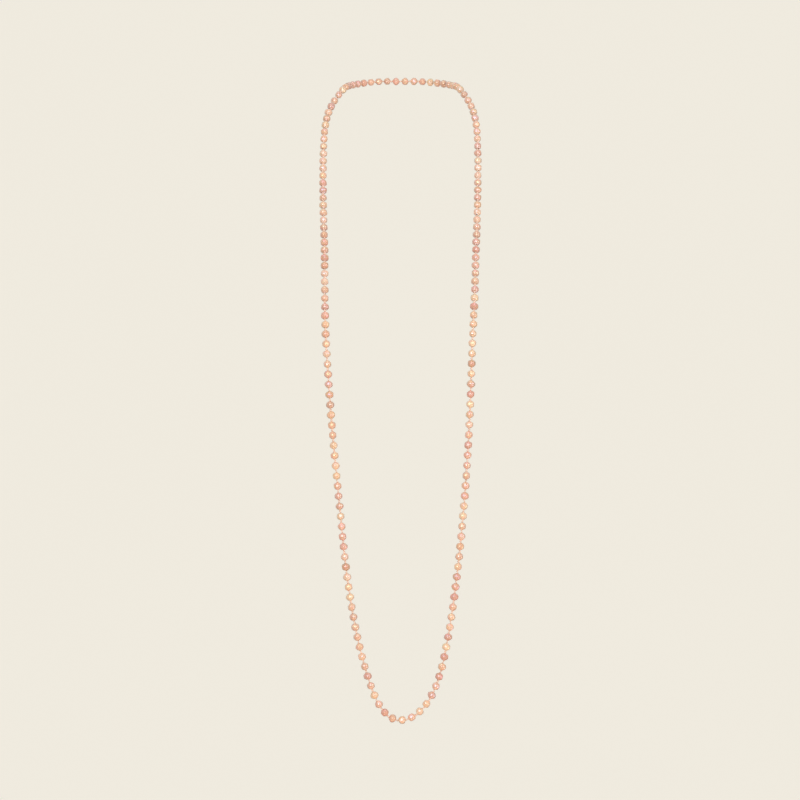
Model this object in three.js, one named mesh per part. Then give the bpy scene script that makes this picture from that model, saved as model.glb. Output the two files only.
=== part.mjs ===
import * as THREE from 'three';

// A long single-strand necklace of faceted glass beads, knotted on silk thread.
// It has no clasp: the strand is one endless loop, kept here in its worn form.
// Millimetres, +Z up. The wearer faces -Y, and +X is the right side of the front view.
// The origin is the point of the nape that the strand rests on.

// Driving dimensions of one bead and of the thread between two beads.
const beadDiameter = 7.8;
const beadLength = 7.3;
const knotLength = 2.3;
const knotDiameter = 2.1;
const threadDiameter = 0.9;

// Driving dimensions of the worn loop, measured between the middles of the beads.
const loopDrop = 642;
const loopWidth = 155;
const loopReach = 247;

// Clearance between the two half strands where they meet.
const meetingGap = 0.3;

// Sides of the rings that the strand is built from.
const beadSides = 10;
const threadSides = 5;

// The loop's way down from the nape, row by row. Each number is a share of one size:
// drop of loopDrop, forward of loopReach, left and right of half the loopWidth.
// The first five rows go round the back of the neck, the next eight lie down the chest,
// and the rest hangs free, with the small sway that a hanging strand has.
const route = [
  { drop: 0.000, forward: 0.000, left: 0.000, right: 0.000 },
  { drop: 0.001, forward: 0.015, left: 0.260, right: 0.260 },
  { drop: 0.006, forward: 0.060, left: 0.485, right: 0.490 },
  { drop: 0.014, forward: 0.135, left: 0.665, right: 0.680 },
  { drop: 0.027, forward: 0.263, left: 0.755, right: 0.785 },
  { drop: 0.045, forward: 0.304, left: 0.855, right: 0.880 },
  { drop: 0.067, forward: 0.356, left: 0.940, right: 0.955 },
  { drop: 0.094, forward: 0.417, left: 0.985, right: 0.990 },
  { drop: 0.137, forward: 0.494, left: 1.000, right: 1.000 },
  { drop: 0.220, forward: 0.644, left: 0.986, right: 0.979 },
  { drop: 0.301, forward: 0.798, left: 0.951, right: 0.942 },
  { drop: 0.379, forward: 0.931, left: 0.932, right: 0.908 },
  { drop: 0.439, forward: 1.000, left: 0.910, right: 0.876 },
  { drop: 0.557, forward: 1.000, left: 0.843, right: 0.840 },
  { drop: 0.675, forward: 0.996, left: 0.751, right: 0.777 },
  { drop: 0.792, forward: 0.988, left: 0.648, right: 0.681 },
  { drop: 0.881, forward: 0.980, left: 0.521, right: 0.573 },
  { drop: 0.940, forward: 0.975, left: 0.388, right: 0.459 },
  { drop: 0.977, forward: 0.972, left: 0.265, right: 0.310 },
  { drop: 0.998, forward: 0.971, left: 0.105, right: 0.102 },
];

// A bead's section from its middle ring to its end, as shares of its half length and its radius.
const beadShoulder = { along: 0.7, across: 0.72 };

// The lines of the route as points: down the left side, then up the right side.
function routePoint(row, side) {
  const across = side < 0 ? row.left : row.right;
  const x = side * across * loopWidth / 2;
  const y = beadDiameter / 2 - row.forward * loopReach;
  return new THREE.Vector3(x, y, -row.drop * loopDrop);
}

function loopCurve() {
  const down = route.map((row) => routePoint(row, -1));
  const up = route.slice(1).reverse().map((row) => routePoint(row, 1));
  const curve = new THREE.CatmullRomCurve3([...down, ...up], true, 'centripetal');
  curve.arcLengthDivisions = 4000;
  return curve;
}

const curve = loopCurve();
const loopLength = curve.getLength();

// An odd number of beads puts one in the middle of the bottom and a knot at the nape.
const beadCount = 2 * Math.round((loopLength / (beadLength + knotLength) - 1) / 2) + 1;
const pitch = loopLength / beadCount;

// The loop leans forward as it drops, and no part of it runs along this direction.
const acrossLoop = new THREE.Vector3(0, -1, 1).normalize();

// One ring of points round the strand at a distance along the loop.
// The turn is a share of one side, so that staggered rings make facets.
function ringPoints(ring) {
  const u = ring.distance / loopLength;
  const centre = curve.getPointAt(u);
  const along = curve.getTangentAt(u);
  const aside = new THREE.Vector3().crossVectors(along, acrossLoop).normalize();
  const above = new THREE.Vector3().crossVectors(along, aside);
  const points = [];
  for (let side = 0; side < ring.sides; side += 1) {
    const angle = 2 * Math.PI * (side + ring.turn) / ring.sides;
    const point = centre.clone();
    point.addScaledVector(aside, ring.radius * Math.cos(angle));
    point.addScaledVector(above, ring.radius * Math.sin(angle));
    points.push(point);
  }
  return points;
}

function threadRing(distance, diameter) {
  return { distance, radius: diameter / 2, sides: threadSides, turn: 0 };
}

function beadRing(distance, share, turn) {
  return { distance, radius: share * beadDiameter / 2, sides: beadSides, turn };
}

// The rings of one bead: thread, shoulder, middle, shoulder, thread.
function beadRings(middle) {
  const half = beadLength / 2;
  const shoulder = beadShoulder.along * half;
  return [
    threadRing(middle - half, threadDiameter),
    beadRing(middle - shoulder, beadShoulder.across, 0.5),
    beadRing(middle, 1, 0),
    beadRing(middle + shoulder, beadShoulder.across, 0.5),
    threadRing(middle + half, threadDiameter),
  ];
}

// All rings of a stretch of the strand, from one knot to another.
function strandRings(firstBead, lastBead) {
  const rings = [threadRing(firstBead * pitch + meetingGap / 2, knotDiameter)];
  for (let bead = firstBead; bead <= lastBead; bead += 1) {
    rings.push(...beadRings((bead + 0.5) * pitch));
    if (bead < lastBead) {
      rings.push(threadRing((bead + 1) * pitch, knotDiameter));
    }
  }
  rings.push(threadRing((lastBead + 1) * pitch - meetingGap / 2, knotDiameter));
  return rings;
}

// Triangles between two neighbouring rings, which may differ in sides and turn.
function joinRings(near, far, index) {
  let i = 0;
  let j = 0;
  while (i < near.sides || j < far.sides) {
    const nearPoint = near.start + i % near.sides;
    const farPoint = far.start + j % far.sides;
    const nearNext = (i + 1 + near.turn) / near.sides;
    const farNext = (j + 1 + far.turn) / far.sides;
    if (j >= far.sides || (i < near.sides && nearNext <= farNext)) {
      index.push(nearPoint, near.start + (i + 1) % near.sides, farPoint);
      i += 1;
    } else {
      index.push(nearPoint, far.start + (j + 1) % far.sides, farPoint);
      j += 1;
    }
  }
}

// A flat end across a ring.
function capRing(ring, facesForward, index) {
  for (let side = 1; side < ring.sides - 1; side += 1) {
    const near = ring.start + side;
    const far = ring.start + side + 1;
    index.push(ring.start, facesForward ? near : far, facesForward ? far : near);
  }
}

// A stretch of beads and knots as one closed body.
function strandGeometry(firstBead, lastBead) {
  const rings = strandRings(firstBead, lastBead);
  const positions = [];
  const index = [];
  for (const ring of rings) {
    ring.start = positions.length / 3;
    for (const point of ringPoints(ring)) {
      positions.push(point.x, point.y, point.z);
    }
  }
  for (let k = 0; k < rings.length - 1; k += 1) {
    joinRings(rings[k], rings[k + 1], index);
  }
  capRing(rings[0], false, index);
  capRing(rings[rings.length - 1], true, index);
  const geometry = new THREE.BufferGeometry();
  geometry.setAttribute('position', new THREE.Float32BufferAttribute(positions, 3));
  geometry.setIndex(index);
  geometry.computeVertexNormals();
  return geometry;
}

const peachGlass = { color: 0xe9ab90, roughness: 0.15, metalness: 0 };

function strandMesh(name, firstBead, lastBead) {
  const material = new THREE.MeshStandardMaterial({ ...peachGlass, flatShading: true });
  const mesh = new THREE.Mesh(strandGeometry(firstBead, lastBead), material);
  mesh.name = name;
  return mesh;
}

// The bead in the middle of the bottom belongs to the left half.
const leftBeads = (beadCount + 1) / 2;

const necklace = new THREE.Group();
necklace.add(strandMesh('left_string', 0, leftBeads - 1));
necklace.add(strandMesh('right_string', leftBeads, beadCount - 1));

export default necklace;
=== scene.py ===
# %% [markdown]
# # A long strand of faceted glass beads
#
# The necklace is one endless strand: peach glass beads with a pearly lustre, every one
# tied off from the next by a knot in the silk. The solids give the strand's route, its
# size and what it weighs. This script gives it its looks: cut facets, tied knots,
# twisted silk, glass and light. Everything is in metres, in the frame of the solids.

import math
import random

import bpy
import numpy as np
from mathutils import Matrix, Vector


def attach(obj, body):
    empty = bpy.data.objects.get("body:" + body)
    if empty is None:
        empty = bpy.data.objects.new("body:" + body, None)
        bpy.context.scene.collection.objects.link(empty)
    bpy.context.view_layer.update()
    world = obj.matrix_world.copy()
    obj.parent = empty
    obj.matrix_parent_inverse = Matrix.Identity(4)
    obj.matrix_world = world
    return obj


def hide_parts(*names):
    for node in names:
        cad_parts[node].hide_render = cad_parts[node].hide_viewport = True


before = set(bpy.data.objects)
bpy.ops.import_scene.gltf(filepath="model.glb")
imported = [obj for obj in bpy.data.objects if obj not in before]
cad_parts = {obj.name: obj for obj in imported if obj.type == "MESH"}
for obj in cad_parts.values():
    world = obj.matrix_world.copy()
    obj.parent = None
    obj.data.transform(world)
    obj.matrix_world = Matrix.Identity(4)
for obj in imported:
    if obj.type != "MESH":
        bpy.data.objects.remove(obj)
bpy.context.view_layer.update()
MM = 0.001

# %% [markdown]
# ## The camera
#
# The picture is taken level, from straight in front and about two metres away, so the
# strand keeps its slender shape. A lens can be given as a length, but what the picture
# fixes is how many pixels one metre takes at one metre. The lens follows from that.

# %% Set up the camera
PICTURE_WIDTH_PX = 800
PX_PER_METRE_AT_ONE_METRE = 2116.4
SENSOR = 36.0
CAMERA_PLACE = Vector((-0.0006, -2.243, -0.3382))

bpy.ops.object.camera_add(location=CAMERA_PLACE, rotation=(math.pi / 2, 0, 0))
camera = bpy.context.object
camera.name = "camera"
camera.data.sensor_width = SENSOR
camera.data.lens = SENSOR * PX_PER_METRE_AT_ONE_METRE / PICTURE_WIDTH_PX
bpy.context.scene.camera = camera
print("lens", round(camera.data.lens, 1), "mm")

# %% [markdown]
# ## Small helpers
#
# An operator acts on whatever is selected, so each piece starts with nothing selected.
# Faces are then picked in code, by a test on each face, as a hand would click them.


# %% Define the helpers
def start_piece():
    """Leaves object mode with nothing selected."""
    if bpy.context.object and bpy.context.object.mode != "OBJECT":
        bpy.ops.object.mode_set(mode="OBJECT")
    bpy.ops.object.select_all(action="DESELECT")


def pick_faces(piece, wanted):
    """Selects the faces that pass a test, and goes back to edit mode."""
    bpy.ops.mesh.select_all(action="DESELECT")
    bpy.ops.object.mode_set(mode="OBJECT")
    for face in piece.data.polygons:
        face.select = wanted(face)
    bpy.ops.object.mode_set(mode="EDIT")


def pick_edges(piece, wanted):
    """Selects the edges whose two ends pass a test, and goes back to edit mode."""
    bpy.ops.mesh.select_all(action="DESELECT")
    bpy.ops.object.mode_set(mode="OBJECT")
    points = piece.data.vertices
    for edge in piece.data.edges:
        edge.select = wanted(*(points[i].co for i in edge.vertices))
    bpy.ops.object.mode_set(mode="EDIT")


def join_pieces(pieces, name):
    """Joins copies into one mesh."""
    start_piece()
    for piece in pieces:
        piece.select_set(True)
    bpy.context.view_layer.objects.active = pieces[0]
    bpy.ops.object.join()
    joined = bpy.context.object
    joined.name = joined.data.name = name
    faces = len(joined.data.polygons)
    print(name, "joined from", len(pieces), "pieces,", faces, "faces")
    return joined


def place_copy(pattern, place):
    """Copies a pattern piece, mesh and all, and puts the place into the mesh."""
    mesh = pattern.data.copy()
    mesh.transform(place)
    copy = bpy.data.objects.new(pattern.name + "_copy", mesh)
    bpy.context.collection.objects.link(copy)
    return copy


# %% [markdown]
# ## The studio
#
# A picture like this is taken in front of a plain sweep, where floor and wall meet in a
# curve. A flat wall would stand in the way when the strand is looked at from behind, so
# the sweep is carried all the way round: a drum with its lid taken off and its lower
# edge rounded. The floor is as far below the nape as it is when the strand is worn.
# Only the camera sees the sweep: it sends no light to the beads, and they don't mirror it.

# %% Model the round sweep
FLOOR_BELOW_NAPE = 1.45
STUDIO_RADIUS = 3.4
STUDIO_HEIGHT = 4.6
STUDIO_SIDES = 96
COVE_RADIUS = 0.9
COVE_STEPS = 16

start_piece()
bpy.ops.mesh.primitive_cylinder_add(
    vertices=STUDIO_SIDES,
    radius=STUDIO_RADIUS,
    depth=STUDIO_HEIGHT,
    location=(0, 0, STUDIO_HEIGHT / 2 - FLOOR_BELOW_NAPE),
)
sweep = bpy.context.object
sweep.name = "studio_sweep"
bpy.ops.object.transform_apply()
bpy.ops.object.mode_set(mode="EDIT")
pick_faces(sweep, lambda face: face.normal.z > 0.9)
bpy.ops.mesh.delete(type="FACE")
pick_edges(sweep, lambda a, b: max(a.z, b.z) < MM - FLOOR_BELOW_NAPE)
bpy.ops.mesh.bevel(offset=COVE_RADIUS, segments=COVE_STEPS, affect="EDGES")
bpy.ops.mesh.select_all(action="SELECT")
bpy.ops.mesh.flip_normals()
bpy.ops.object.mode_set(mode="OBJECT")
bpy.ops.object.shade_smooth()
sweep.visible_glossy = sweep.visible_diffuse = sweep.visible_shadow = False
print("sweep", len(sweep.data.polygons), "faces")

# %% [markdown]
# ## The strand's route
#
# The solids were drawn along one smooth closed curve through a short list of points:
# round the back of the neck, over both shoulders, down the chest, and free from there.
# The list is repeated here, each number a share of one overall size. A Catmull-Rom
# curve passes through all its points, and spacing its knots by the square root of the
# distance keeps it from looping where the points lie close together.

# %% Repeat the route
BEAD_DIAMETER = 7.8 * MM
BEAD_LENGTH = 7.3 * MM
KNOT_LENGTH = 2.3 * MM
THREAD_DIAMETER = 0.9 * MM
LOOP_DROP = 642 * MM
LOOP_WIDTH = 155 * MM
LOOP_REACH = 247 * MM

# Shares of the drop, the reach, and half the width on the left and on the right.
ROUTE = [
    (0.000, 0.000, 0.000, 0.000),
    (0.001, 0.015, 0.260, 0.260),
    (0.006, 0.060, 0.485, 0.490),
    (0.014, 0.135, 0.665, 0.680),
    (0.027, 0.263, 0.755, 0.785),
    (0.045, 0.304, 0.855, 0.880),
    (0.067, 0.356, 0.940, 0.955),
    (0.094, 0.417, 0.985, 0.990),
    (0.137, 0.494, 1.000, 1.000),
    (0.220, 0.644, 0.986, 0.979),
    (0.301, 0.798, 0.951, 0.942),
    (0.379, 0.931, 0.932, 0.908),
    (0.439, 1.000, 0.910, 0.876),
    (0.557, 1.000, 0.843, 0.840),
    (0.675, 0.996, 0.751, 0.777),
    (0.792, 0.988, 0.648, 0.681),
    (0.881, 0.980, 0.521, 0.573),
    (0.940, 0.975, 0.388, 0.459),
    (0.977, 0.972, 0.265, 0.310),
    (0.998, 0.971, 0.105, 0.102),
]


def route_point(drop, forward, across):
    """One point of the route from its shares."""
    x = across * LOOP_WIDTH / 2
    y = BEAD_DIAMETER / 2 - forward * LOOP_REACH
    return np.array([x, y, -drop * LOOP_DROP])


def smooth_stretch(a, b, c, d, shares):
    """A Catmull-Rom stretch from b to c, as cubic Hermite points."""
    before, between, after = (
        math.sqrt(np.linalg.norm(q - p)) for p, q in ((a, b), (b, c), (c, d))
    )
    leave = (b - a) / before - (c - a) / (before + between) + (c - b) / between
    arrive = (c - b) / between - (d - b) / (between + after) + (d - c) / after
    t = shares[:, None]
    return (
        b * (2 * t**3 - 3 * t**2 + 1)
        + leave * between * (t**3 - 2 * t**2 + t)
        + c * (3 * t**2 - 2 * t**3)
        + arrive * between * (t**3 - t**2)
    )


down = [route_point(drop, forward, -left) for drop, forward, left, right in ROUTE]
up = [route_point(drop, forward, right) for drop, forward, left, right in ROUTE[:0:-1]]
stops = down + up
shares = np.linspace(0, 1, 100, endpoint=False)
line = np.concatenate(
    [
        smooth_stretch(*(stops[(i + k) % len(stops)] for k in (-1, 0, 1, 2)), shares)
        for i in range(len(stops))
    ]
    + [stops[0][None]]
)
steps = np.linalg.norm(np.diff(line, axis=0), axis=1)
distances = np.concatenate([[0], np.cumsum(steps)])
LOOP_LENGTH = float(distances[-1])
print("the loop is", round(LOOP_LENGTH, 4), "m long")

# %% [markdown]
# ## Where each bead sits
#
# The beads fill the loop with an odd number of equal steps, so one of them ends up in
# the middle of the bottom and a knot at the nape. A bead is stiff and the silk bends
# only at the knots, so a bead's axis is the straight line from knot to knot.

# %% Work out the places
BEADS = 2 * round((LOOP_LENGTH / (BEAD_LENGTH + KNOT_LENGTH) - 1) / 2) + 1
PITCH = LOOP_LENGTH / BEADS
LEFT_BEADS = (BEADS + 1) // 2
LEAN = Vector((0, -1, 1)).normalized()


def along_loop(distance):
    """The point at a distance along the loop, measured from the nape."""
    at = distance % LOOP_LENGTH
    return Vector([float(np.interp(at, distances, line[:, k])) for k in range(3)])


def facing(centre, direction, spin):
    """A place at centre with its Z along a direction, turned about it."""
    along = direction.normalized()
    aside = along.cross(LEAN).normalized()
    above = along.cross(aside)
    turn = Matrix((aside, above, along)).transposed().to_4x4()
    return Matrix.Translation(centre) @ turn @ Matrix.Rotation(spin, 4, "Z")


def bead_ends(number):
    """The middles of the knots before and after a bead."""
    return along_loop(number * PITCH), along_loop((number + 1) * PITCH)


print(BEADS, "beads,", round(PITCH / MM, 2), "mm from one to the next")

# %% [markdown]
# ## The bead
#
# A fire-polished bead is moulded round and then ground: a ring of eight facets round
# its middle, eight more on each shoulder that sit between those of the middle, eight
# small ones round each end, and a flat at the end where it is drilled. A sphere with
# flat shading would give facets in straight rows like a globe. Cutting a blank plane by
# plane, as the grinder does, gives the staggered facets of the real cut. Bisect does
# that: it slices the blank, throws the outer side away and fills the cut. Hand-held
# grinding is never quite even, so a dozen patterns are cut, each with its planes
# slightly off. The two end flats are then inset and bridged, which drills the hole.

# %% Cut the bead patterns
FACETS_ROUND = 8
MIDDLE_FLAT = 3.56 * MM
SHOULDER_FLAT = 3.58 * MM
SHOULDER_ANGLE = math.radians(42)
END_FLAT = 3.56 * MM
END_ANGLE = math.radians(67)
CUT_LENGTH = 7.0 * MM
DRILL_RADIUS = 0.62 * MM
BLANK_RADIUS = 6 * MM
BLANK_SIDES = 24
BEAD_PATTERNS = 12
SLOPPY_ANGLE = math.radians(5)
SLOPPY_DEPTH = 0.17 * MM
TINY = 0.001 * MM

random.seed(26)


def grind(azimuth, latitude, depth):
    """Cuts one facet: everything beyond a plane is sliced off."""
    azimuth += random.uniform(-SLOPPY_ANGLE, SLOPPY_ANGLE)
    latitude += random.uniform(-SLOPPY_ANGLE, SLOPPY_ANGLE)
    depth += random.uniform(-SLOPPY_DEPTH, SLOPPY_DEPTH)
    level = math.cos(latitude)
    outward = Vector(
        (level * math.cos(azimuth), level * math.sin(azimuth), math.sin(latitude))
    )
    bpy.ops.mesh.select_all(action="SELECT")
    bpy.ops.mesh.bisect(
        plane_co=outward * depth,
        plane_no=outward,
        use_fill=True,
        clear_outer=True,
        threshold=TINY,
    )


def end_width(piece):
    """The distance from the axis to the nearest side of the end flat."""
    top = max(piece.data.polygons, key=lambda face: face.center.z)
    corners = [piece.data.vertices[i].co for i in top.vertices]
    middles = [(a + b) / 2 for a, b in zip(corners, corners[1:] + corners[:1])]
    return min(middle.xy.length for middle in middles)


def cut_bead(name):
    """One bead pattern, standing on the Z axis about the origin."""
    start_piece()
    bpy.ops.mesh.primitive_cylinder_add(
        vertices=BLANK_SIDES, radius=BLANK_RADIUS, depth=CUT_LENGTH
    )
    bead = bpy.context.object
    bead.name = bead.data.name = name
    bpy.ops.object.mode_set(mode="EDIT")
    for facet in range(FACETS_ROUND):
        azimuth = math.tau * facet / FACETS_ROUND
        between = azimuth + math.pi / FACETS_ROUND
        grind(azimuth, 0, MIDDLE_FLAT)
        grind(between, SHOULDER_ANGLE, SHOULDER_FLAT)
        grind(between, -SHOULDER_ANGLE, SHOULDER_FLAT)
        grind(azimuth, END_ANGLE, END_FLAT)
        grind(azimuth, -END_ANGLE, END_FLAT)
    bpy.ops.mesh.select_all(action="SELECT")
    bpy.ops.mesh.remove_doubles(threshold=10 * TINY)
    bpy.ops.object.mode_set(mode="OBJECT")
    inset = end_width(bead) - DRILL_RADIUS
    bpy.ops.object.mode_set(mode="EDIT")
    pick_faces(bead, lambda face: abs(face.normal.z) > 0.99)
    bpy.ops.mesh.inset(thickness=inset)
    bpy.ops.mesh.bridge_edge_loops()
    bpy.ops.mesh.select_all(action="SELECT")
    bpy.ops.mesh.normals_make_consistent(inside=False)
    bpy.ops.object.mode_set(mode="OBJECT")
    bpy.ops.object.shade_smooth()
    return bead


bead_patterns = [cut_bead(f"bead_pattern_{n}") for n in range(BEAD_PATTERNS)]
print("facets on each pattern:", [len(bead.data.polygons) for bead in bead_patterns])

# %% [markdown]
# ## Stringing the beads
#
# Each copy takes one of the patterns, a turn of its own about the silk and a slight
# tilt, because the drilled hole is wider than the thread, and it is a little larger or
# smaller than the next. Four face attributes go with it for the glass. Two hold one
# number for the whole bead, its tone and the strength of its lustre, since no two come
# out of the furnace alike. The other two change from facet to facet: colour and lustre
# lie unevenly, and one of them also makes random facets a little paler or deeper, as
# painted sheen and painted shade.

# %% String both halves
TILT = math.radians(5)
WIDTH_SPREAD = 0.04
LENGTH_SPREAD = 0.03


def paint_tones(piece, bead_tone, lustre):
    """Writes the bead's tone and lustre and two tones for each facet as face attributes."""
    faces = len(piece.data.polygons)
    tones = {
        "bead_tone": [bead_tone] * faces,
        "lustre": [lustre] * faces,
        "facet_tone": [random.random() for _ in range(faces)],
        "hue_tone": [random.random() for _ in range(faces)],
    }
    for name, values in tones.items():
        tone = piece.data.attributes.new(name, "FLOAT", "FACE")
        tone.data.foreach_set("value", values)


def string_bead(number):
    """One bead on its place in the loop."""
    before, after = bead_ends(number)
    place = facing((before + after) / 2, after - before, random.uniform(0, math.tau))
    tilt = Matrix.Rotation(random.uniform(-TILT, TILT), 4, "X")
    width = 1 + random.uniform(-WIDTH_SPREAD, WIDTH_SPREAD)
    length = 1 + random.uniform(-LENGTH_SPREAD, LENGTH_SPREAD)
    size = Matrix.Diagonal((width, width, length, 1))
    bead = place_copy(random.choice(bead_patterns), place @ tilt @ size)
    paint_tones(bead, random.random(), random.random())
    return bead


left_beads = join_pieces([string_bead(n) for n in range(LEFT_BEADS)], "left_beads")
right_beads = join_pieces(
    [string_bead(n) for n in range(LEFT_BEADS, BEADS)], "right_beads"
)
for pattern in bead_patterns:
    bpy.data.objects.remove(pattern)

# %% [markdown]
# ## The knot
#
# Between two beads the silk is tied in an overhand knot, drawn up tight against the
# bead. A knot is a path that crosses itself, so it starts as a path: the points of a
# drawing-in trefoil, t**3 - 3t and its two sisters, which is the simplest formula whose
# line can't be pulled straight. Its ends come back to the axis, where they meet the
# holes of the two beads, and the path is given the thread's thickness.

# %% Tie the knot pattern
KNOT_STEPS = 13
KNOT_TURN = 2.0
KNOT_LEAN = math.radians(50)
KNOT_STRETCH = Vector((0.42, 0.42, 1.35)) * MM
KNOT_THREAD = 0.92 * MM


def knot_point(t):
    """A point of the knot, with Z along the strand."""
    x, y, z = t**3 - 3 * t, t**4 - 4 * t**2 + 2, t**5 / 5 - 2 * t
    along = x * math.cos(KNOT_LEAN) + z * math.sin(KNOT_LEAN)
    across = z * math.cos(KNOT_LEAN) - x * math.sin(KNOT_LEAN)
    return Vector(
        (across * KNOT_STRETCH.z, y * KNOT_STRETCH.y, along * KNOT_STRETCH.x)
    )


def tie_knot():
    """The knot pattern, from one bead's hole to the next."""
    start_piece()
    bpy.ops.curve.primitive_nurbs_path_add(radius=KNOT_LENGTH)
    knot = bpy.context.object
    knot.name = knot.data.name = "knot_pattern"
    half_gap = Vector((0, 0, (PITCH - BEAD_LENGTH) / 2 + DRILL_RADIUS))
    turns = np.linspace(-KNOT_TURN, KNOT_TURN, KNOT_STEPS)
    points = [-half_gap] + [knot_point(t) for t in turns] + [half_gap]
    spline = knot.data.splines[0]
    spline.points.add(len(points) - len(spline.points))
    for point, place in zip(spline.points, points):
        point.co = (*place, 1)
    spline.order_u = 3
    spline.resolution_u = 1
    knot.data.bevel_depth = KNOT_THREAD / 2
    knot.data.bevel_resolution = 1
    knot.data.use_fill_caps = True
    bpy.ops.object.convert(target="MESH")
    bpy.ops.object.shade_smooth()
    return bpy.context.object


knot_pattern = tie_knot()
print("knot", len(knot_pattern.data.polygons), "faces, size", knot_pattern.dimensions)

# %% [markdown]
# ## Knots and thread along the loop
#
# A knot sits in the middle of each gap, turned about the strand at random. The thread
# itself runs on through the drilled holes as one thin tube a side, so that light and
# shadow in the holes are right and the strand holds together when it is looked at close.

# %% Copy the knots and draw the thread
THREAD_STEPS_A_BEAD = 2


def string_knot(number):
    """One knot on its place in the loop."""
    at = number * PITCH
    direction = along_loop(at + PITCH / 2) - along_loop(at - PITCH / 2)
    place = facing(along_loop(at), direction, random.uniform(0, math.tau))
    return place_copy(knot_pattern, place)


def draw_thread(first, last, name):
    """The thread from one knot to another."""
    start_piece()
    bpy.ops.curve.primitive_nurbs_path_add(radius=PITCH)
    thread = bpy.context.object
    thread.name = thread.data.name = name
    steps = (last - first) * THREAD_STEPS_A_BEAD
    points = [along_loop((first + k / THREAD_STEPS_A_BEAD) * PITCH) for k in range(steps + 1)]
    spline = thread.data.splines[0]
    spline.points.add(len(points) - len(spline.points))
    for point, place in zip(spline.points, points):
        point.co = (*place, 1)
    spline.use_endpoint_u = True
    spline.order_u = 2
    spline.resolution_u = 1
    thread.data.bevel_depth = THREAD_DIAMETER / 2
    thread.data.bevel_resolution = 1
    bpy.ops.object.transform_apply()
    bpy.ops.object.convert(target="MESH")
    bpy.ops.object.shade_smooth()
    return bpy.context.object


left_knots = join_pieces([string_knot(n) for n in range(LEFT_BEADS)], "left_knots")
right_knots = join_pieces(
    [string_knot(n) for n in range(LEFT_BEADS, BEADS)], "right_knots"
)
left_thread = draw_thread(0, LEFT_BEADS, "left_thread")
right_thread = draw_thread(LEFT_BEADS, BEADS, "right_thread")
bpy.data.objects.remove(knot_pattern)
print("threads", [len(t.data.polygons) for t in (left_thread, right_thread)], "faces")

# %% [markdown]
# ## Shader maths in plain Python
#
# A finish is a sum: a base tone, plus a little of this where that mask is high. Wiring
# Math nodes by hand hides the sum, so one small class wraps a socket and lets +, * and
# - add the nodes. Colours go through Mix nodes, because a Math node turns them grey.


# %% Define the shader class
class Wire:
    """A node's output that can be used in an expression."""

    def __init__(self, paint, socket):
        self.paint = paint
        self.socket = socket

    def maths(self, operation, first, second):
        return self.paint.node(
            "ShaderNodeMath", {"operation": operation}, {0: first, 1: second}
        )

    def __add__(self, other):
        return self.maths("ADD", self, other)

    def __radd__(self, other):
        return self.maths("ADD", other, self)

    def __rsub__(self, other):
        return self.maths("SUBTRACT", other, self)

    def __mul__(self, other):
        return self.maths("MULTIPLY", self, other)

    def __pow__(self, other):
        return self.maths("POWER", self, other)

    def out(self, name):
        """Another output of the same node."""
        return Wire(self.paint, self.socket.node.outputs[name])


class Paint:
    """A material under construction."""

    def __init__(self, name):
        self.material = bpy.data.materials.new(name)
        self.material.use_nodes = True
        self.tree = self.material.node_tree
        self.tree.nodes.clear()
        self.end = self.tree.nodes.new("ShaderNodeOutputMaterial")

    def node(self, kind, settings=None, inputs=None, output=0):
        """Adds a node: its settings first, then values or wires for its sockets."""
        node = self.tree.nodes.new(kind)
        for key, value in (settings or {}).items():
            setattr(node, key, value)
        for key, value in (inputs or {}).items():
            self.connect(node.inputs[key], value)
        return Wire(self, node.outputs[output])

    def connect(self, socket, value):
        if isinstance(value, Wire):
            self.tree.links.new(value.socket, socket)
        else:
            socket.default_value = value

    def mix(self, factor, first, second):
        """Mixes two colours."""
        return self.node(
            "ShaderNodeMix",
            {"data_type": "RGBA"},
            {0: factor, 6: first, 7: second},
            output=2,
        )

    def attribute(self, name):
        return self.node("ShaderNodeAttribute", {"attribute_name": name}, output="Fac")

    def place(self):
        """Object coordinates, in metres."""
        return self.node("ShaderNodeTexCoord").out("Object")

    def noise(self, size, detail=2.0, roughness=0.5):
        """Cloudy noise whose lumps are about the given size."""
        return self.node(
            "ShaderNodeTexNoise",
            {},
            {"Vector": self.place(), "Scale": 1 / size, "Detail": detail, "Roughness": roughness},
        )

    def bump(self, height, distance, strength):
        return self.node(
            "ShaderNodeBump",
            {},
            {"Height": height, "Distance": distance, "Strength": strength},
        )

    def domed_normal(self, share):
        """The flat normal of each facet, leant by a share towards the smooth one."""
        smooth = self.node("ShaderNodeNewGeometry", output="Normal")
        leant = self.node(
            "ShaderNodeMix",
            {"data_type": "VECTOR"},
            {0: share, 4: smooth.out("True Normal"), 5: smooth},
            output=1,
        )
        return self.node("ShaderNodeVectorMath", {"operation": "NORMALIZE"}, {0: leant})

    def finish(self, shader):
        self.tree.links.new(shader.socket, self.end.inputs["Surface"])
        return self.material


def srgb(red, green, blue):
    """A colour as a screen shows it, 0 to 255, as the linear colour a shader needs."""
    def linear(value):
        share = value / 255
        return share / 12.92 if share <= 0.04045 else ((share + 0.055) / 1.055) ** 2.4

    return (linear(red), linear(green), linear(blue), 1.0)
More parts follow.
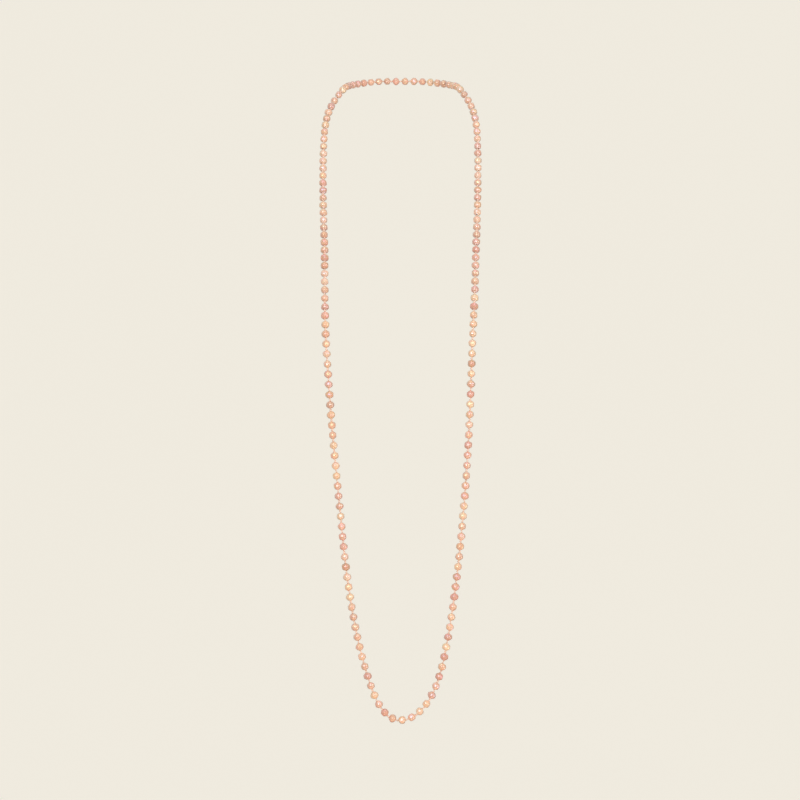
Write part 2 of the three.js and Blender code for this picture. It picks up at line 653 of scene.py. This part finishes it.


# %% [markdown]
# ## The glass
#
# The beads are opaque peach glass with a lustre: a metal-oxide film a few hundred
# nanometres thick, burnt on over the cut. Such a film mirrors more than bare glass and
# tints its glints pink, lilac, green or gold by the way light adds up in it. Painting
# those tints on would fix them in place. The Principled shader has the film itself, so
# they come and go with the angle. The film's thickness can't vary over one material
# without a link that an export would drop, so four glasses are made that differ in it.
# Each bead takes one of them, and some of its facets stray to another.
#
# Over the film lies a clear coat as strong as the bead's lustre, so some beads flash and
# others hardly do. Fire polishing rounds each facet a little. The facets here are flat,
# so each one's normal leans towards the round bead's, which keeps its glint soft. Below
# the film the colour is mixed from five peaches by the tones, with faint clouds as in
# pressed glass: pink to orange from bead to bead, and darker or paler at either end.
# Random facets are also a touch paler or deeper in colour: a painted sheen and painted
# shade in place of the glints and shade that facets catch.

# %% Make the four glasses
# Each film's tint, and its thickness in nanometres.
FILMS = {"cream": 226.0, "rose": 398.0, "lilac": 314.0, "pearl": 460.0}
FILM_IOR = 1.85
GLASS_IOR = 1.6
COAT_IOR = 2.3
COAT_ROUGHNESS = 0.09
CLOUD_SIZE = 1.6 * MM
LIGHT_DEPTH = 1.5 * MM
STRAY_FACETS_PERCENT = 25
# The pale peach is the glass's own paler tone and also a painted sheen on random facets. The deep
# peach is painted shade on random facets.
PINK_PEACH = srgb(247, 188, 165)
ORANGE_PEACH = srgb(250, 196, 135)
PALE_AND_SHEEN_PEACH = srgb(252, 219, 192)
PAINTED_SHADE_PEACH = srgb(236, 150, 108)
TAN = srgb(216, 156, 124)
FACET_DOME = 0.45


def glass(name, film):
    """Peach glass under a lustre film of the given thickness in nanometres."""
    paint = Paint(name)
    bead_tone = paint.attribute("bead_tone")
    lustre = paint.attribute("lustre")
    facet_tone = paint.attribute("facet_tone")
    clouds = paint.noise(CLOUD_SIZE, detail=3)
    hue_tone = paint.attribute("hue_tone")
    warm = paint.mix(bead_tone * 0.8 + hue_tone * 0.2, PINK_PEACH, ORANGE_PEACH)
    # Paler in faint clouds, as the glass is, and on random facets as a painted sheen.
    colour = paint.mix(facet_tone * 0.1 + clouds * 0.3, warm, PALE_AND_SHEEN_PEACH)
    # Painted shade: random facets a little deeper and more orange.
    colour = paint.mix((1 - facet_tone) ** 3.0 * 0.15, colour, PAINTED_SHADE_PEACH)
    colour = paint.mix((1 - bead_tone) ** 2.0 * 0.8, colour, TAN)
    colour = paint.mix(bead_tone ** 4.0 * 0.5, colour, PALE_AND_SHEEN_PEACH)
    shader = paint.node(
        "ShaderNodeBsdfPrincipled",
        {},
        {
            "Base Color": colour,
            "Roughness": 0.12 + facet_tone * 0.1,
            "IOR": GLASS_IOR,
            "Subsurface Weight": 0.1,
            "Subsurface Radius": (1.0, 0.45, 0.3),
            "Subsurface Scale": LIGHT_DEPTH,
            "Coat Weight": 0.1 + lustre * 0.9,
            "Coat IOR": COAT_IOR,
            "Coat Roughness": COAT_ROUGHNESS,
            "Thin Film Thickness": film,
            "Thin Film IOR": FILM_IOR,
            "Normal": paint.domed_normal(FACET_DOME),
        },
    )
    return paint.finish(shader)


glasses = [glass(f"peach_glass_{name}", film) for name, film in FILMS.items()]


def face_tones(piece, name):
    """The values of a face attribute."""
    tones = np.zeros(len(piece.data.polygons), dtype=np.float32)
    piece.data.attributes[name].data.foreach_get("value", tones)
    return tones


# Two prime numbers that turn a tone from 0 to 1 into a whole number to draw lots with.
BEAD_LOTS = 997
FACET_LOTS = 991


def glaze(piece):
    """Gives most facets of a bead the bead's own film, and the rest another."""
    own = (face_tones(piece, "bead_tone") * BEAD_LOTS).astype(int)
    stray = (face_tones(piece, "facet_tone") * FACET_LOTS).astype(int)
    mixed = stray % 100 < STRAY_FACETS_PERCENT
    for material in glasses:
        piece.data.materials.append(material)
    piece.data.polygons.foreach_set("material_index", (own + mixed * stray) % len(glasses))


glaze(left_beads)
glaze(right_beads)
print("glasses", [material.name for material in glasses])

# %% [markdown]
# ## The silk
#
# Bead cord is three strands of silk laid round each other. At arm's length it reads as
# a soft pale peach with a dry sheen, so the finish is mostly colour and sheen, with
# fine fibres as bump.

# %% Make the silk
SILK = srgb(248, 222, 200)
SILK_DEEP = srgb(240, 200, 174)
FIBRE_SIZE = 0.18 * MM
FIBRE_HEIGHT = 0.08 * MM


def silk(name):
    """Twisted silk thread."""
    paint = Paint(name)
    fibres = paint.noise(FIBRE_SIZE, detail=3, roughness=0.7)
    shader = paint.node(
        "ShaderNodeBsdfPrincipled",
        {},
        {
            "Base Color": paint.mix(fibres, SILK_DEEP, SILK),
            "Roughness": 0.62,
            "Sheen Weight": 0.4,
            "Sheen Roughness": 0.35,
            "Normal": paint.bump(fibres, FIBRE_HEIGHT, 0.5),
        },
    )
    return paint.finish(shader)


silk_thread = silk("silk_thread")
for piece in (left_knots, right_knots, left_thread, right_thread):
    piece.data.materials.clear()
    piece.data.materials.append(silk_thread)

# %% [markdown]
# ## The sweep's paint and the light
#
# The sweep is plain matt ivory. It glows a little, so it is as even as a well-lit
# ground. Facets show only what they mirror: one that happens to face a softbox flashes
# white, and its neighbours keep the glass's own colour. The key light is a broad box
# close beside the lens, so that the flash sits near the middle of a bead. Weaker boxes
# stand on the right and above, the floor sends up a warm bounce, and one box behind
# lights the back of the beads. The boxes are hidden from the camera, because other views
# look straight at them, and they light the strand and nothing else.
#
# The air lights everything evenly. What the gloss mirrors of it is brighter behind and
# above than in front, as under a lit ceiling, so that the rims of the beads stay light.

# %% Paint the sweep
IVORY = srgb(240, 236, 225)
SHADE = srgb(214, 208, 198)
GLOW = 0.52


def matt_paint(name, colour):
    """Plain matt paint with the faintest mottle."""
    paint = Paint(name)
    mottle = paint.noise(0.6, detail=2)
    shader = paint.node(
        "ShaderNodeBsdfPrincipled",
        {},
        {
            "Base Color": paint.mix(mottle * 0.06, colour, SHADE),
            "Roughness": 0.95,
            "Specular IOR Level": 0.1,
            "Emission Color": colour,
            "Emission Strength": GLOW,
        },
    )
    return paint.finish(shader)


sweep.data.materials.append(matt_paint("ivory_sweep", IVORY))

# %% Hang the softboxes
LIGHT_AIM = Vector((0, -0.2, -0.33))
SOFTBOX_DISTANCE = 2.0
WHITE = srgb(255, 255, 255)
DAYLIGHT = srgb(244, 247, 255)
BOUNCE = srgb(255, 212, 176)
SOFTBOXES = {
    # name: (azimuth from the front, elevation, width, height, watts, colour)
    "left_softbox": (-12, 10, 1.6, 1.4, 23.5, DAYLIGHT),
    "right_softbox": (50, 14, 1.1, 1.1, 9, DAYLIGHT),
    "low_right_softbox": (66, -28, 0.9, 0.9, 5, WHITE),
    "top_softbox": (-12, 68, 1.0, 0.9, 4, WHITE),
    "floor_bounce": (0, -60, 1.8, 0.9, 8, BOUNCE),
    "back_softbox": (180, 24, 1.3, 1.3, 14, WHITE),
}

strand = bpy.data.collections.new("strand")
for piece in (left_beads, right_beads, left_knots, right_knots, left_thread, right_thread):
    strand.objects.link(piece)


def hang_softbox(name, azimuth, elevation, width, height, watts, colour):
    """An area light that looks at the strand."""
    turn, lift = math.radians(azimuth), math.radians(elevation)
    away = Vector(
        (
            math.sin(turn) * math.cos(lift),
            -math.cos(turn) * math.cos(lift),
            math.sin(lift),
        )
    )
    start_piece()
    bpy.ops.object.light_add(type="AREA", location=LIGHT_AIM + away * SOFTBOX_DISTANCE)
    box = bpy.context.object
    box.name = name
    box.rotation_euler = away.to_track_quat("Z", "Y").to_euler()
    box.data.shape = "RECTANGLE"
    box.data.size = width
    box.data.size_y = height
    box.data.energy = watts
    box.data.color = colour[:3]
    box.visible_camera = False
    box.light_linking.receiver_collection = strand


for name, settings in SOFTBOXES.items():
    hang_softbox(name, *settings)
bpy.data.objects["back_softbox"].visible_glossy = False
print("softboxes", list(SOFTBOXES))

# %% Light the air
AIR = srgb(238, 236, 234)
# The way to the bright side, and how far along it the change starts and ends.
BRIGHT_SIDE = Vector((-0.3, 0.75, 0.5))
DARK_END = -0.4
BRIGHT_END = 0.8


def light_air(even, low, high):
    """One strength for matt light, and from low to high towards the bright side for gloss."""
    world = bpy.data.worlds.new("studio_air")
    bpy.context.scene.world = world
    world.use_nodes = True
    tree = world.node_tree
    place = tree.nodes.new("ShaderNodeTexCoord")
    towards = tree.nodes.new("ShaderNodeVectorMath")
    ramp = tree.nodes.new("ShaderNodeMapRange")
    ray = tree.nodes.new("ShaderNodeLightPath")
    choice = tree.nodes.new("ShaderNodeMix")
    towards.operation = "DOT_PRODUCT"
    towards.inputs[1].default_value = BRIGHT_SIDE
    ramp.inputs["From Min"].default_value = DARK_END
    ramp.inputs["From Max"].default_value = BRIGHT_END
    ramp.inputs["To Min"].default_value = low
    ramp.inputs["To Max"].default_value = high
    choice.inputs["A"].default_value = even
    tree.links.new(place.outputs["Generated"], towards.inputs[0])
    tree.links.new(towards.outputs["Value"], ramp.inputs["Value"])
    tree.links.new(ray.outputs["Is Glossy Ray"], choice.inputs["Factor"])
    tree.links.new(ramp.outputs["Result"], choice.inputs["B"])
    air = tree.nodes["Background"]
    air.inputs["Color"].default_value = AIR
    tree.links.new(choice.outputs["Result"], air.inputs["Strength"])


light_air(even=0.56, low=0.22, high=0.82)
bpy.context.scene.view_settings.view_transform = "Standard"

# %% [markdown]
# ## Tying the pieces to the frame
#
# Each piece is tied to the body it moves with. The beads stand for the two half
# strands, and those two solids are hidden.

# %% Tie the pieces to the frame
for piece, node in ((left_beads, "left_string"), (right_beads, "right_string")):
    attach(piece, "root")
    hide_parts(node)
for piece in (left_knots, right_knots, left_thread, right_thread):
    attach(piece, "root")
